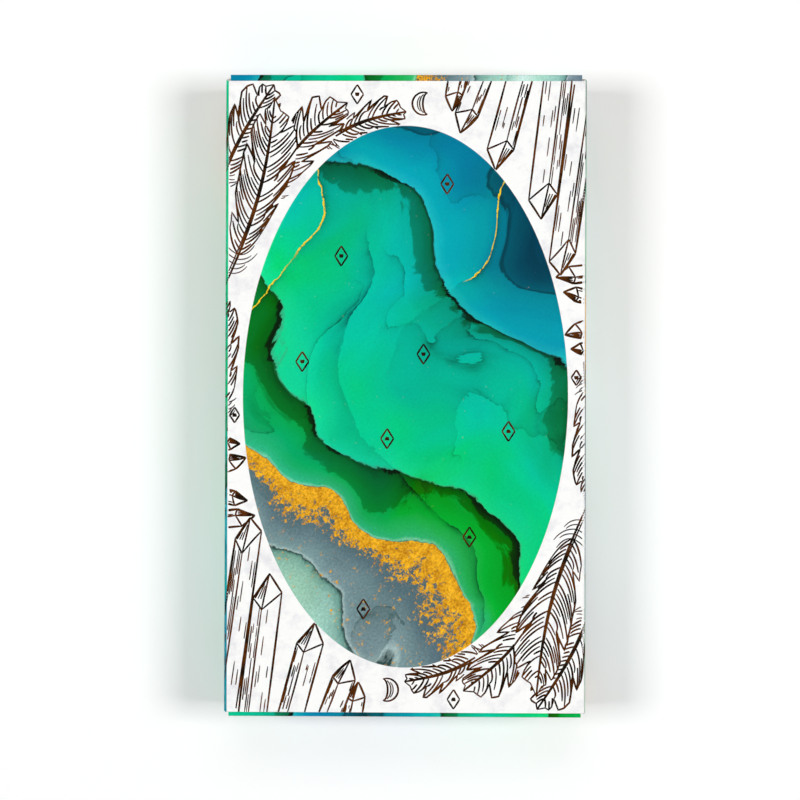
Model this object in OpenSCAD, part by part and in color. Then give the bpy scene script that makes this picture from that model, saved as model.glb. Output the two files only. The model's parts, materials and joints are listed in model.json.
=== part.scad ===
// Oracle card deck in a folding carton that tucks shut at both ends.
// The carton lies on its back with its front panel up: X is the width, Y the length with
// the top closure at +Y, and Z the depth. The origin is under the middle, on the table.

/* [Cards] */
// Width of a card
card_w = 66; // [50:0.5:80]
// Length of a card
card_l = 120; // [90:0.5:140]
// Thickness of a card
card_t = 0.36; // [0.25:0.01:0.5]
// Radius of a card's corners
card_corner = 4; // [1:0.5:8]
// Number of cards in the deck
card_count = 40; // [12:1:44]
// Air between one card and the next
card_air = 0.02; // [0.01:0.01:0.05]
// How far the cards lie out of line with each other
card_scatter = 0.2; // [0:0.05:0.4]

/* [Guide booklet] */
// How much narrower the booklet is than a card
booklet_narrower = 3; // [0:0.5:8]
// How much shorter the booklet is than a card
booklet_shorter = 3; // [0:0.5:12]
// Folded sheets inside the cover
booklet_sheets = 7; // [3:1:12]
// Thickness of an inside sheet
sheet_t = 0.09; // [0.06:0.01:0.15]
// Air between one folded sheet and the next
sheet_air = 0.015; // [0.01:0.005:0.03]
// Thickness of the cover
cover_t = 0.22; // [0.15:0.01:0.4]
// Diameter of the staple wire
staple_wire = 0.35; // [0.25:0.05:0.6]
// Length of a staple along the spine
staple_l = 11; // [8:0.5:16]
// Distance from the booklet's end to the middle of its nearest staple
staple_inset = 30; // [15:1:45]
// Room round the staple wire in the paper
staple_clear = 0.03; // [0.02:0.01:0.06]

/* [Carton] */
// Thickness of the carton board
board_t = 0.45; // [0.3:0.05:0.7]
// Inside radius of the carton's long folded edges
crease_r = 0.25; // [0.1:0.05:0.6]
// Slit beside each hinged crease
crease_gap = 0.05; // [0.03:0.01:0.1]
// Room between the deck and each side panel
side_play = 1.55; // [1.2:0.05:4]
// How much longer the front panel is than a card
end_play = 2.4; // [1.6:0.1:6]
// Room under the deck and under the booklet
stack_gap = 0.03; // [0.02:0.01:0.1]
// Room between the bottom dust flaps and what rests on them
rest_gap = 0.3; // [0.2:0.05:0.8]
// Room between the booklet and the tips of the tuck flaps
booklet_room = 0.3; // [0.2:0.05:2]
// Width of the glue flap inside the left side panel
glue_flap_w = 12; // [6:0.5:15]
// How far the glue flap's ends are set in from the front panel's cut edges
glue_flap_inset = 1.5; // [1.2:0.1:5]
// Taper of the glue flap's ends
glue_flap_taper = 15; // [5:1:40]

/* [Closures] */
// How far the top lid stands out past the front panel's cut edge
top_stand = 1.3; // [1:0.05:2.5]
// How far the bottom lid stands out past the front panel's cut edge
bottom_stand = 0.9; // [0.9:0.05:2.5]
// How much a lid is set in from each side of the carton
lid_inset = 0.85; // [0.5:0.05:2]
// Length of a tuck flap
tuck_l = 12; // [8:0.5:16]
// Lean of a closed tuck flap into the carton
tuck_lean = 4.5; // [3:0.5:8]
// Radius of a tuck flap's corners
tuck_corner = 7; // [2:0.5:8]
// How much a tuck flap is narrower than its lid at each side
tuck_slit = 0.8; // [0.3:0.1:2]
// Room between a tuck flap and the front panel
tuck_clear = 0.25; // [0.2:0.05:0.6]
// Sharpest angle between a lid and its tuck flap, as the lid opens
tuck_folded = 38; // [30:1:60]
// Length of a dust flap
dust_l = 11; // [6:0.5:12]
// Taper of a dust flap's back edge
dust_back_taper = 27; // [27:0.5:32]
// Taper of a dust flap's front edge
dust_front_taper = 18; // [18:0.5:24]
// Set-back of a dust flap from the carton's back face, at its crease
dust_back_inset = 1; // [0.9:0.1:2]
// Set-back of a dust flap from its tuck flap, at its crease
dust_front_inset = 1.2; // [1:0.1:3]
// Radius of a dust flap's corners
dust_corner = 2; // [0.5:0.1:2.5]
// Room between a lid and the dust flaps under it
dust_gap = 0.1; // [0.05:0.05:0.4]

/* [Hidden] */
$fn = 64;

// Stack from the back panel up to the front panel
deck_h = card_count * card_t + (card_count - 1) * card_air;
fold_core_r = staple_wire / 2 + staple_clear;
booklet_h = 2 * (fold_core_r + booklet_sheets * (sheet_t + sheet_air) + cover_t);
deck_z = board_t + stack_gap;
booklet_z = deck_z + deck_h + stack_gap;
tuck_tip_z = booklet_z + booklet_h + booklet_room;

// Creases of the closures: the lid turns at the back panel, the tuck flap at the lid's far edge
tuck_axis_z = tuck_tip_z + tuck_l * sin(tuck_lean) + board_t / 2;
carton_d = tuck_axis_z + board_t / 2 + tuck_clear + board_t;
carton_w = card_w + 2 * side_play + 2 * board_t;
panel_l = card_l + end_play;
carton_l = panel_l + top_stand + bottom_stand;
top_y = carton_l / 2 - top_stand;
bottom_y = bottom_stand - carton_l / 2;
fold_r = crease_r + board_t;
flat_half_w = carton_w / 2 - board_t - fold_r;
lid_half_w = carton_w / 2 - lid_inset;
tuck_half_w = lid_half_w - tuck_slit;
edge_back = board_t / 2 + crease_gap;

// How far out a lid's crease and a dust flap's crease lie, from the front panel's cut edge
function lid_out(stand) = stand - board_t / 2;
function dust_out(stand) = stand - board_t - dust_gap - board_t / 2;

// Turn from one card to the next in the two waves that put the cards out of line
scatter_turn_x = 137;
scatter_turn_y = 83;

// Where the deck and the booklet rest, against the bottom dust flaps
deck_y = bottom_y - dust_out(bottom_stand) + board_t / 2 + rest_gap;
booklet_w = card_w - booklet_narrower;
booklet_l = card_l - booklet_shorter;

// Colours as printed and cut
front_white = [0.95, 0.94, 0.92];
print_green = [0.0, 0.55, 0.42];
print_teal = [0.0, 0.42, 0.45];
raw_board = [0.86, 0.85, 0.81];
card_white = [0.96, 0.95, 0.93];
paper_cream = [0.93, 0.91, 0.85];
wire_steel = [0.7, 0.71, 0.72];

function two_digits(i) = i < 10 ? str("0", i) : str(i);
function card_name(i) = str("card_", two_digits(i));

// Carries a shape drawn in X and Z along the carton, from one Y to another
module along_y(from, to) {
    translate([0, to, 0]) rotate([90, 0, 0]) linear_extrude(to - from) children();
}

// Carries a shape drawn in Z and Y across the carton, evenly about its middle
module across_x(half_w) {
    translate([-half_w, 0, 0]) rotate([0, -90, 0]) mirror([0, 0, 1]) linear_extrude(2 * half_w) children();
}

// Puts what is drawn outwards along +Y from a front panel's cut edge at one end of the carton
module at_end(top) {
    if (top) translate([0, top_y, 0]) children();
    else translate([0, bottom_y, 0]) mirror([0, 1, 0]) children();
}

// Rectangle from one corner to the other with round corners
module round_rect(low, high, r) {
    translate([low[0] + r, low[1]]) square([high[0] - low[0] - 2 * r, high[1] - low[1]]);
    translate([low[0], low[1] + r]) square([high[0] - low[0], high[1] - low[1] - 2 * r]);
    for (x = [low[0] + r, high[0] - r])
        for (y = [low[1] + r, high[1] - r])
            translate([x, y]) circle(r);
}

// The board's cross-section all round, between a left face, a right face, a back face and the front
module board_ring(left, back) {
    difference() {
        round_rect([left, back], [carton_w / 2, carton_d], fold_r);
        round_rect([left + board_t, back + board_t], [carton_w / 2 - board_t, carton_d - board_t], crease_r);
    }
}

// Front panel, with half of the fold at each long edge and plain cut ends
module front_panel() {
    half = carton_w / 2;
    color(front_white) along_y(bottom_y, top_y) intersection() {
        board_ring(-half, 0);
        polygon([
            [-half, carton_d], [half, carton_d],
            [half - fold_r, carton_d - fold_r], [fold_r - half, carton_d - fold_r]
        ]);
    }
}

// Back panel, with half a fold at each long edge and a neck at each end that carries a lid
module back_panel() {
    half = carton_w / 2;
    inner_left = board_t - half;
    low_y = bottom_y - lid_out(bottom_stand) + edge_back;
    high_y = top_y + lid_out(top_stand) - edge_back;
    color(print_green) union() {
        along_y(bottom_y, top_y) intersection() {
            board_ring(inner_left, 0);
            polygon([[inner_left, 0], [half, 0], [half - fold_r, fold_r], [inner_left + fold_r, fold_r]]);
        }
        translate([-flat_half_w, low_y, 0]) cube([2 * flat_half_w, high_y - low_y, board_t]);
    }
}

// Right side panel, with half a fold at each long edge, cut at the dust flaps' creases
module right_side_panel() {
    half = carton_w / 2;
    color(print_teal)
        along_y(bottom_y - dust_out(bottom_stand) + edge_back, top_y + dust_out(top_stand) - edge_back)
        intersection() {
            board_ring(-half, 0);
            polygon([
                [half, carton_d], [half - fold_r, carton_d - fold_r],
                [half - fold_r, fold_r], [half, 0]
            ]);
        }
}

// Left side panel, lapped over the glue flap, so its back edge is a plain cut
module left_side_panel() {
    half = carton_w / 2;
    color(print_teal)
        along_y(bottom_y - dust_out(bottom_stand) + edge_back, top_y + dust_out(top_stand) - edge_back)
        intersection() {
            board_ring(-half, -carton_d);
            polygon([
                [-half, carton_d], [fold_r - half, carton_d - fold_r],
                [fold_r - half, 0], [-half, 0]
            ]);
        }
}

// Glue flap, folded up from the back panel and stuck inside the left side panel
module glue_flap() {
    inner_left = board_t - carton_w / 2;
    low_y = bottom_y + glue_flap_inset;
    high_y = top_y - glue_flap_inset;
    slant = glue_flap_w * tan(glue_flap_taper);
    color(raw_board) intersection() {
        along_y(bottom_y, top_y) intersection() {
            board_ring(inner_left, 0);
            polygon([
                [inner_left, 0], [inner_left + fold_r, fold_r],
                [inner_left + fold_r, glue_flap_w], [inner_left, glue_flap_w]
            ]);
        }
        across_x(carton_w / 2) polygon([
            [0, low_y], [glue_flap_w, low_y + slant], [glue_flap_w, high_y - slant], [0, high_y]
        ]);
    }
}

// Lid with a round bead on its crease, bevelled inside where its tuck flap folds in
module lid(stand) {
    outer = stand;
    inner = stand - board_t;
    fold_back = board_t / 2 / tan(tuck_folded / 2);
    color(print_green) {
        across_x(lid_half_w) polygon([
            [board_t / 2, inner], [board_t / 2, outer],
            [tuck_axis_z - edge_back, outer], [tuck_axis_z - edge_back, lid_out(stand)],
            [tuck_axis_z - fold_back - crease_gap, inner]
        ]);
        across_x(flat_half_w) translate([board_t / 2, lid_out(stand)]) circle(d = board_t);
    }
}

// Tuck flap with a round bead on its crease and round corners, leaning in behind the front panel
module tuck_flap(stand) {
    fold_back = board_t / 2 / tan(tuck_folded / 2);
    color(print_green)
        translate([0, lid_out(stand), tuck_axis_z]) rotate([tuck_lean, 0, 0]) {
            intersection() {
                translate([0, 0, -board_t / 2]) linear_extrude(board_t) difference() {
                    round_rect([-tuck_half_w, -tuck_l], [tuck_half_w, tuck_corner], tuck_corner);
                    translate([-tuck_half_w, 0]) square([2 * tuck_half_w, tuck_corner]);
                }
                across_x(tuck_half_w) polygon([
                    [board_t / 2, 0], [0, 0], [-board_t / 2, -fold_back],
                    [-board_t / 2, -tuck_l], [board_t / 2, -tuck_l]
                ]);
            }
            across_x(tuck_half_w) circle(d = board_t);
        }
}

// Dust flap of the right side, with a round bead on its crease and a tapered, round-cornered tongue
module dust_flap(stand) {
    axis_x = carton_w / 2 - board_t / 2;
    base_back = dust_back_inset;
    base_front = tuck_axis_z - board_t / 2 - dust_front_inset;
    tip_back = base_back + dust_l * tan(dust_back_taper);
    tip_front = base_front - dust_l * tan(dust_front_taper);
    back_turn = dust_corner * tan(45 - dust_back_taper / 2);
    front_turn = dust_corner * tan(45 - dust_front_taper / 2);
    color(print_teal) translate([axis_x, 0, 0]) {
        along_y(dust_out(stand) - board_t / 2, dust_out(stand) + board_t / 2) {
            polygon([
                [0, base_back],
                [back_turn * cos(dust_back_taper) - dust_l, tip_back - back_turn * sin(dust_back_taper)],
                [-dust_l, tip_back + back_turn],
                [-dust_l, tip_front - front_turn],
                [front_turn * cos(dust_front_taper) - dust_l, tip_front + front_turn * sin(dust_front_taper)],
                [0, base_front]
            ]);
            translate([dust_corner - dust_l, tip_back + back_turn]) circle(dust_corner);
            translate([dust_corner - dust_l, tip_front - front_turn]) circle(dust_corner);
        }
        translate([0, dust_out(stand), base_back]) cylinder(d = board_t, h = base_front - base_back);
    }
}

// One folded sheet of the booklet, seen from its end: a round spine and two leaves of one thickness
module folded_sheet(spine_r, thickness) {
    leaf_l = booklet_w - booklet_h / 2;
    inner_r = spine_r - thickness;
    intersection() {
        difference() {
            circle(spine_r);
            circle(inner_r);
        }
        translate([-spine_r, -spine_r]) square([spine_r, 2 * spine_r]);
    }
    translate([0, inner_r]) square([leaf_l, thickness]);
    translate([0, -spine_r]) square([leaf_l, thickness]);
}

// Puts what is drawn round the spine's centre line in the booklet's place on the deck
module at_booklet() {
    translate([(booklet_h - booklet_w) / 2, deck_y, booklet_z + booklet_h / 2]) children();
}

// Positions of the two staples along the spine
module at_staples() {
    for (y = [staple_inset, booklet_l - staple_inset])
        translate([0, y, 0]) children();
}

// Punched holes for the staples' legs
module staple_holes() {
    at_staples() for (end = [-1, 1])
        translate([-booklet_h, end * (staple_l - staple_wire) / 2, 0])
            rotate([0, 90, 0]) cylinder(d = staple_wire + 2 * staple_clear, h = booklet_h);
}

// Cover, the outermost folded sheet
module booklet_cover() {
    color(print_teal) at_booklet() difference() {
        along_y(0, booklet_l) folded_sheet(booklet_h / 2, cover_t);
        staple_holes();
    }
}

// Inside sheets, nested in the cover
module booklet_pages() {
    color(paper_cream) at_booklet() for (i = [1 : booklet_sheets])
        difference() {
            along_y(0, booklet_l)
                folded_sheet(fold_core_r + i * (sheet_t + sheet_air) - sheet_air, sheet_t);
            staple_holes();
        }
}

// Two wire staples: a crown outside the spine, legs through it and points turned in at the middle fold
module booklet_staples() {
    bend = fold_core_r;
    crown_x = -booklet_h / 2 - staple_wire / 2 - staple_clear;
    leg_l = -crown_x - 2 * bend;
    point_l = staple_l / 2 - staple_wire / 2 - bend - staple_clear;
    color(wire_steel) at_booklet() at_staples() for (end = [0, 1])
        mirror([0, end, 0]) translate([crown_x, 0, 0]) {
            rotate([-90, 0, 0]) cylinder(d = staple_wire, h = staple_l / 2 - staple_wire / 2 - bend);
            translate([bend, staple_l / 2 - staple_wire / 2 - bend, 0])
                rotate([0, 0, 90]) rotate_extrude(angle = 90) translate([bend, 0]) circle(d = staple_wire);
            translate([bend, staple_l / 2 - staple_wire / 2, 0])
                rotate([0, 90, 0]) cylinder(d = staple_wire, h = leg_l);
            translate([bend + leg_l, staple_l / 2 - staple_wire / 2 - bend, 0])
                rotate_extrude(angle = 90) translate([bend, 0]) circle(d = staple_wire);
            translate([2 * bend + leg_l, staple_clear, 0])
                rotate([-90, 0, 0]) cylinder(d = staple_wire, h = point_l);
        }
}

// One card of the stack, counted from the back panel
module card(i) {
    shift_x = card_scatter * sin(scatter_turn_x * i);
    shift_y = card_scatter * (1 + sin(scatter_turn_y * i)) / 2;
    color(card_white) translate([shift_x, deck_y + shift_y, deck_z + (i - 1) * (card_t + card_air)])
        linear_extrude(card_t) round_rect([-card_w / 2, 0], [card_w / 2, card_l], card_corner);
}

front_panel();
back_panel();
left_side_panel();
right_side_panel();
glue_flap();
at_end(true) lid(top_stand);  // top_lid
at_end(true) tuck_flap(top_stand);  // top_tuck_flap
at_end(true) mirror([1, 0, 0]) dust_flap(top_stand);  // top_left_dust_flap
at_end(true) dust_flap(top_stand);  // top_right_dust_flap
at_end(false) lid(bottom_stand);  // bottom_lid
at_end(false) tuck_flap(bottom_stand);  // bottom_tuck_flap
at_end(false) mirror([1, 0, 0]) dust_flap(bottom_stand);  // bottom_left_dust_flap
at_end(false) dust_flap(bottom_stand);  // bottom_right_dust_flap
booklet_cover();
booklet_pages();
booklet_staples();
for (i = [1 : card_count])
    card(i);
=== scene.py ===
import json
import math
import random

import bmesh
import bpy
from mathutils import Matrix, Vector


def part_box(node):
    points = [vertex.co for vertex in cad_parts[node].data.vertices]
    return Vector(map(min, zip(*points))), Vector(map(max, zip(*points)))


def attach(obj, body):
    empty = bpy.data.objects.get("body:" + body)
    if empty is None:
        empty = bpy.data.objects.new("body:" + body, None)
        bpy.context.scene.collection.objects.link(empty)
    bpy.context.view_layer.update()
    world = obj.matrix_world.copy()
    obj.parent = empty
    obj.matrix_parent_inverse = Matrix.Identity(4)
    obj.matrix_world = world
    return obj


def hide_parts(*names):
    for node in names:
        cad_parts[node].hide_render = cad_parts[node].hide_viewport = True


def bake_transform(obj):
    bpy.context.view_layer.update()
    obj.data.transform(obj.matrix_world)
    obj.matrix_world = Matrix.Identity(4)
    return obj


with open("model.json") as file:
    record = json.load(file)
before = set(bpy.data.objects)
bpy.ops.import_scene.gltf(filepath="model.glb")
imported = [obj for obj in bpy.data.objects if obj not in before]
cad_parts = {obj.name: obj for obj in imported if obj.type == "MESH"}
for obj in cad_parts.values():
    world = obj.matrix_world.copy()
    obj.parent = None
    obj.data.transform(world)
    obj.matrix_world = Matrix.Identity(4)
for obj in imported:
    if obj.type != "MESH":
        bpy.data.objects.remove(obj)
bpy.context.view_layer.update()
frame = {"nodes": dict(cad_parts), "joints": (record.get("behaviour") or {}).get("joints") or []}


# The board is pressed from white pulp: off-white and uncoated on the inside, with long fibres and specks.
# Where the die cuts it, the edge shows the layers of the pressed core between two smoother skins.
# Both finishes read the flat blank's coordinates in millimetres, which every piece of board carries.
BLANK = "blank"
MM = 0.001
LONG_FIBRES, CROSS_FIBRES = (0.7, 4.5, 2.5), (5.0, 0.9, 2.5)
CROSS_SHIFT, CROSS_TURN = (3, 8, 1), 0.7
PULP_DEPTH, CHIP_DEPTH = 0.04 * MM, 0.05 * MM


def add_node(tree, kind, inputs=(), **settings):
    """A new shader node with its settings, input values and links."""
    made = tree.nodes.new(kind)
    for key, value in settings.items():
        setattr(made, key, value)
    for key, value in dict(inputs).items():
        if isinstance(value, bpy.types.NodeSocket):
            tree.links.new(value, made.inputs[key])
        else:
            made.inputs[key].default_value = value
    return made


def noise(tree, place, scale, detail=2.0, roughness=0.5, output=0):
    """A noise texture read at a place: its value or, as output 1, its colour."""
    inputs = {"Vector": place, "Scale": scale, "Detail": detail, "Roughness": roughness}
    return add_node(tree, "ShaderNodeTexNoise", inputs).outputs[output]


def calc(tree, operation, *values):
    """The result of a Math node."""
    return add_node(tree, "ShaderNodeMath", enumerate(values), operation=operation).outputs[0]


def carried(tree, value, low, high, to_low=0.0, to_high=1.0):
    """A value carried from one range to another and held at both ends."""
    inputs = {"Value": value, "From Min": low, "From Max": high, "To Min": to_low, "To Max": to_high}
    return add_node(tree, "ShaderNodeMapRange", inputs).outputs[0]


def mixed(tree, share, first, second, blend="MIX"):
    """Two colours mixed by a share."""
    inputs = {0: share, 6: first, 7: second}
    return add_node(tree, "ShaderNodeMix", inputs, data_type="RGBA", blend_type=blend).outputs[2]


def moved(tree, place, location=(0, 0, 0), turn=0.0, scale=(1, 1, 1)):
    """A place scaled, turned in its plane and shifted."""
    inputs = {"Vector": place, "Location": location, "Rotation": (0, 0, turn), "Scale": scale}
    return add_node(tree, "ShaderNodeMapping", inputs).outputs[0]


def srgb(text):
    """A colour written as six hex digits, as a shader takes it."""
    parts = [int(text[i : i + 2], 16) / 255 for i in (0, 2, 4)]
    return tuple(p / 12.92 if p <= 0.04045 else ((p + 0.055) / 1.055) ** 2.4 for p in parts) + (1.0,)


def new_group(name, inputs, outputs):
    """An empty node group with its named sockets, its input node and its output node."""
    tree = bpy.data.node_groups.new(name, "ShaderNodeTree")
    for label, kind in inputs:
        tree.interface.new_socket(label, in_out="INPUT", socket_type=kind)
    for label, kind in outputs:
        tree.interface.new_socket(label, in_out="OUTPUT", socket_type=kind)
    return tree, tree.nodes.new("NodeGroupInput"), tree.nodes.new("NodeGroupOutput")


def use_group(tree, group, **inputs):
    """The outputs of a node group placed in a material with its own values."""
    return add_node(tree, "ShaderNodeGroup", inputs, node_tree=group).outputs


def new_material(name, **values):
    """A material with one Principled shader and its plain values."""
    material = bpy.data.materials.new(name)
    material.use_nodes = True
    shader = material.node_tree.nodes["Principled BSDF"]
    for key, value in values.items():
        shader.inputs[key.replace("_", " ")].default_value = value
    return material, material.node_tree, shader


def give(tree, shader, **sockets):
    """Links what varies over the surface to the shader."""
    for key, value in sockets.items():
        tree.links.new(value, shader.inputs[key.replace("_", " ")])


def bumped(tree, height, strength, distance):
    """A normal raised by a height."""
    inputs = {"Height": height, "Strength": strength, "Distance": distance}
    return add_node(tree, "ShaderNodeBump", inputs).outputs[0]


def on_blank(tree):
    """The place on the flat blank that a piece of board carries."""
    return add_node(tree, "ShaderNodeUVMap", uv_map=BLANK).outputs[0]


fibres, place_in, out = new_group(
    "paper_fibres",
    [("Place", "NodeSocketVector")],
    [("Tone", "NodeSocketFloat"), ("Height", "NodeSocketFloat")],
)
place = place_in.outputs["Place"]
long_fibres = noise(fibres, moved(fibres, place, scale=LONG_FIBRES), 1.0, 5.0, 0.6)
cross_fibres = noise(fibres, moved(fibres, place, CROSS_SHIFT, CROSS_TURN, CROSS_FIBRES), 1.0, 5.0, 0.6)
thickness = calc(fibres, "MULTIPLY", noise(fibres, place, 0.09, 3.0), 0.3)
woven = calc(fibres, "ADD", long_fibres, cross_fibres)
fibres.links.new(calc(fibres, "MULTIPLY_ADD", woven, 0.35, thickness), out.inputs["Tone"])
fibres.links.new(calc(fibres, "MULTIPLY", woven, 0.5), out.inputs["Height"])

raw_board, tree, shader = new_material("raw_board", Roughness=0.88, Specular_IOR_Level=0.25)
flat_place = on_blank(tree)
pulp = use_group(tree, fibres, Place=flat_place)
inside = mixed(tree, carried(tree, pulp["Tone"], 0.3, 0.7), srgb("d2cec3"), srgb("ebe8df"))
specks = carried(tree, noise(tree, flat_place, 2.6), 0.69, 0.74, 0.0, 0.3)
give(tree, shader, Base_Color=mixed(tree, specks, inside, srgb("9a8d78")))
give(tree, shader, Normal=bumped(tree, pulp["Height"], 0.35, PULP_DEPTH))

cut_edge, tree, shader = new_material("cut_edge", Roughness=0.93, Specular_IOR_Level=0.2)
chips = noise(tree, on_blank(tree), 3.5, 5.0, 0.7)
give(tree, shader, Base_Color=mixed(tree, carried(tree, chips, 0.3, 0.7), srgb("cfccc2"), srgb("f1efe8")))
give(tree, shader, Normal=bumped(tree, chips, 0.5, CHIP_DEPTH))


# The outside is printed in one pass and laminated: a marbled ink in emerald, teal, mint, slate and ochre runs
# full bleed over the wrap, and the front has the same ink in a tall oval on a white, faintly mottled ground.
# The white ground is printed a little to the right, so the wrap's ink shows along the left fold.
OVAL_CENTRE, OVAL_HALF, OVAL_SOFT = (0.0, -0.2), (31.5, 52.5), 0.001
GROUND_LEFT, GROUND_RIGHT, BLEED_SOFT = -34.45, 34.87, 0.06
RUB_REACH = 0.55
LAMINATE_DEPTH = 0.03 * MM

# The flat blank from the front panel's middle to the right, in millimetres. Each fold is a strip as long as
# its bend, which is as round on the outside as scored board allows, about one and a half thicknesses.
BOARD_T = 0.45
FOLD_R = 0.7
FOLD_L = FOLD_R * math.pi / 2
HALF_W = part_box("right_side_panel")[1].x / MM
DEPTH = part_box("front_panel")[1].z / MM
FRONT_FLAT = HALF_W - FOLD_R
SIDE_FLAT = DEPTH - 2 * FOLD_R
BACK_FLAT = 2 * FRONT_FLAT - BOARD_T
side_start = FRONT_FLAT + FOLD_L
back_start = side_start + SIDE_FLAT + FOLD_L
glue_start = back_start + BACK_FLAT + FOLD_L
front_fold, side_fold, glue_fold = (start - FOLD_L / 2 for start in (side_start, back_start, glue_start))
BACK_MIDDLE = back_start + FRONT_FLAT

# Where the ink lies: its shift, turn and scale per millimetre, and how far it wanders, most on the back
WRAP_SHIFT, WRAP_SCALE, WRAP_LEAN = (1.772, 0.31, 0.0), (-0.0153, 0.0153, 0.0), 0.0034
WRAP_WANDER, BACK_WANDER = 0.12, 0.55
BACK_CALM, BACK_STIRRED = (34.0, 61.0), (10.0, 35.0)
OVAL_INK_SHIFT, OVAL_INK_SCALE, OVAL_INK_TURN = (0.47, 0.12, 7.9), (0.0098, 0.0098, 0.0), 2.2
OVAL_INK_WANDER = 0.75

# The ink's bands along its flow: each starts at a dark line, with a thin pale rim before it
TEAL_LINE, EMERALD_LINE, GREEN_LINE, SLATE_LINE, MINT_LINE = 0.058, 0.231, 0.556, 0.711, 0.871
LINE_SOFT = 0.0005
INK_STOPS = [
    (0.0, "00424e"),
    (0.052, "005f6d"),
    (TEAL_LINE, "01262d"),
    (0.0605, "008695"),
    (0.12, "0098a6"),
    (0.20, "00a9b2"),
    (0.227, "18bcba"),
    (0.2285, "4fd0c8"),
    (EMERALD_LINE, "011f1c"),
    (0.2345, "00604a"),
    (0.241, "009471"),
    (0.32, "00ba94"),
    (0.42, "00c592"),
    (0.50, "00ca84"),
    (0.551, "10d494"),
    (0.5535, "4fdca8"),
    (GREEN_LINE, "02240f"),
    (0.56, "007838"),
    (0.575, "009446"),
    (0.64, "00ab58"),
    (0.70, "2fb377"),
    (0.708, "7ad0a4"),
    (SLATE_LINE, "26302a"),
    (0.72, "4a5c57"),
    (0.80, "58737a"),
    (0.86, "7f9c9f"),
    (0.868, "a9c2bf"),
    (MINT_LINE, "203a38"),
    (0.878, "6f9f90"),
    (0.90, "8fbfab"),
    (0.95, "a3d3b8"),
    (1.0, "cdeadb"),
]
POOL_PIGMENT, BLOT_PIGMENT = "0a8a2c", "023a1c"
POOL_RIM = 0.07
LINE_FALL, SHADE_FALL, SHADE = 45.0, 5.0, 0.27
GREEN_GLAZE, BLUE_GLAZE, TIDE_GLAZE = "0a6a44", "0f6d84", "14694a"
GOLD_DARK, GOLD_LIGHT, GOLD_VEIN = "a5620c", "ffc02a", "f2d22c"


def product(tree, *values):
    """Some values multiplied together."""
    result = values[0]
    for value in values[1:]:
        result = calc(tree, "MULTIPLY", result, value)
    return result


ink, place_in, out = new_group(
    "marbled_ink",
    [("Place", "NodeSocketVector"), ("Wander", "NodeSocketFloat")],
    [("Colour", "NodeSocketColor"), ("Gilt", "NodeSocketFloat")],
)
still = place_in.outputs["Place"]


def drifted(place, scale, detail, roughness, reach):
    """A place pushed aside by a noise, as ink drifts in a solvent."""
    kind = "ShaderNodeVectorMath"
    push = noise(ink, place, scale, detail, roughness, output=1)
    centred = add_node(ink, kind, {0: push, 1: (0.5, 0.5, 0.5)}, operation="SUBTRACT").outputs[0]
    scaled = add_node(ink, kind, {0: centred, "Scale": reach}, operation="SCALE").outputs[0]
    return add_node(ink, kind, {0: place, 1: scaled}, operation="ADD").outputs[0]


wide = drifted(still, 2.3, 2.0, 0.45, place_in.outputs["Wander"])
edgy = drifted(wide, 7.0, 6.0, 0.66, 0.075)
line_weight = carried(ink, noise(ink, edgy, 11.0, 3.0), 0.38, 0.62, 0.1, 0.95)
axes = add_node(ink, "ShaderNodeSeparateXYZ", {0: edgy}).outputs
flow = calc(ink, "PINGPONG", axes["X"], 1.0)
bands = add_node(ink, "ShaderNodeValToRGB", {"Fac": flow})
stops = bands.color_ramp.elements
for position, _ in INK_STOPS[1:-1]:
    stops.new(position)
for stop, (position, shade) in zip(stops, INK_STOPS):
    stop.position, stop.color = position, srgb(shade)

# Pigment pools behind the green lines, wide in some places and hardly at all in others, and dries in blots
pools = calc(ink, "MULTIPLY_ADD", noise(ink, edgy, 5.0, 5.0, 0.62), 2.2, -0.7)
spots = noise(ink, moved(ink, edgy, (6.0, 2.0, 4.0)), 9.0, 4.0, 0.6)
blots = calc(ink, "MULTIPLY_ADD", spots, 4.5, -2.2)
layered = bands.outputs[0]
for line, spread, reach, near, far, pigment in (
    (EMERALD_LINE, pools, 0.12, 0.8, 0.4, POOL_PIGMENT),
    (GREEN_LINE, pools, 0.13, 0.8, 0.4, POOL_PIGMENT),
    (EMERALD_LINE, blots, 0.03, 0.95, 0.6, BLOT_PIGMENT),
    (GREEN_LINE, blots, 0.03, 0.95, 0.6, BLOT_PIGMENT),
):
    start = line - LINE_SOFT
    behind = carried(ink, flow, start, start + reach)
    rim = carried(ink, calc(ink, "SUBTRACT", spread, behind), 0.0, POOL_RIM)
    wet = carried(ink, flow, start - 2 * LINE_SOFT, start)
    share = product(ink, rim, wet, carried(ink, behind, 0.0, 1.0, near, far))
    layered = mixed(ink, share, layered, srgb(pigment), "MULTIPLY")


def ran(over_y, over_x):
    """How far a wash has run, from 0 at its line to 1 at the next one."""
    run = calc(ink, "MULTIPLY_ADD", axes["Y"], over_y, calc(ink, "MULTIPLY", axes["X"], over_x))
    return calc(ink, "FRACT", run)


def washed(colour, run, share, glaze):
    """A colour under a wash that starts at a dark, sharp line of uneven weight and thins out behind it."""
    behind = calc(ink, "SUBTRACT", 1.0, run)
    line = calc(ink, "MULTIPLY", calc(ink, "POWER", behind, LINE_FALL), line_weight)
    dark = calc(ink, "MULTIPLY_ADD", calc(ink, "POWER", behind, SHADE_FALL), SHADE, line)
    return mixed(ink, calc(ink, "MULTIPLY", dark, share), colour, srgb(glaze), "MULTIPLY")


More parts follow.
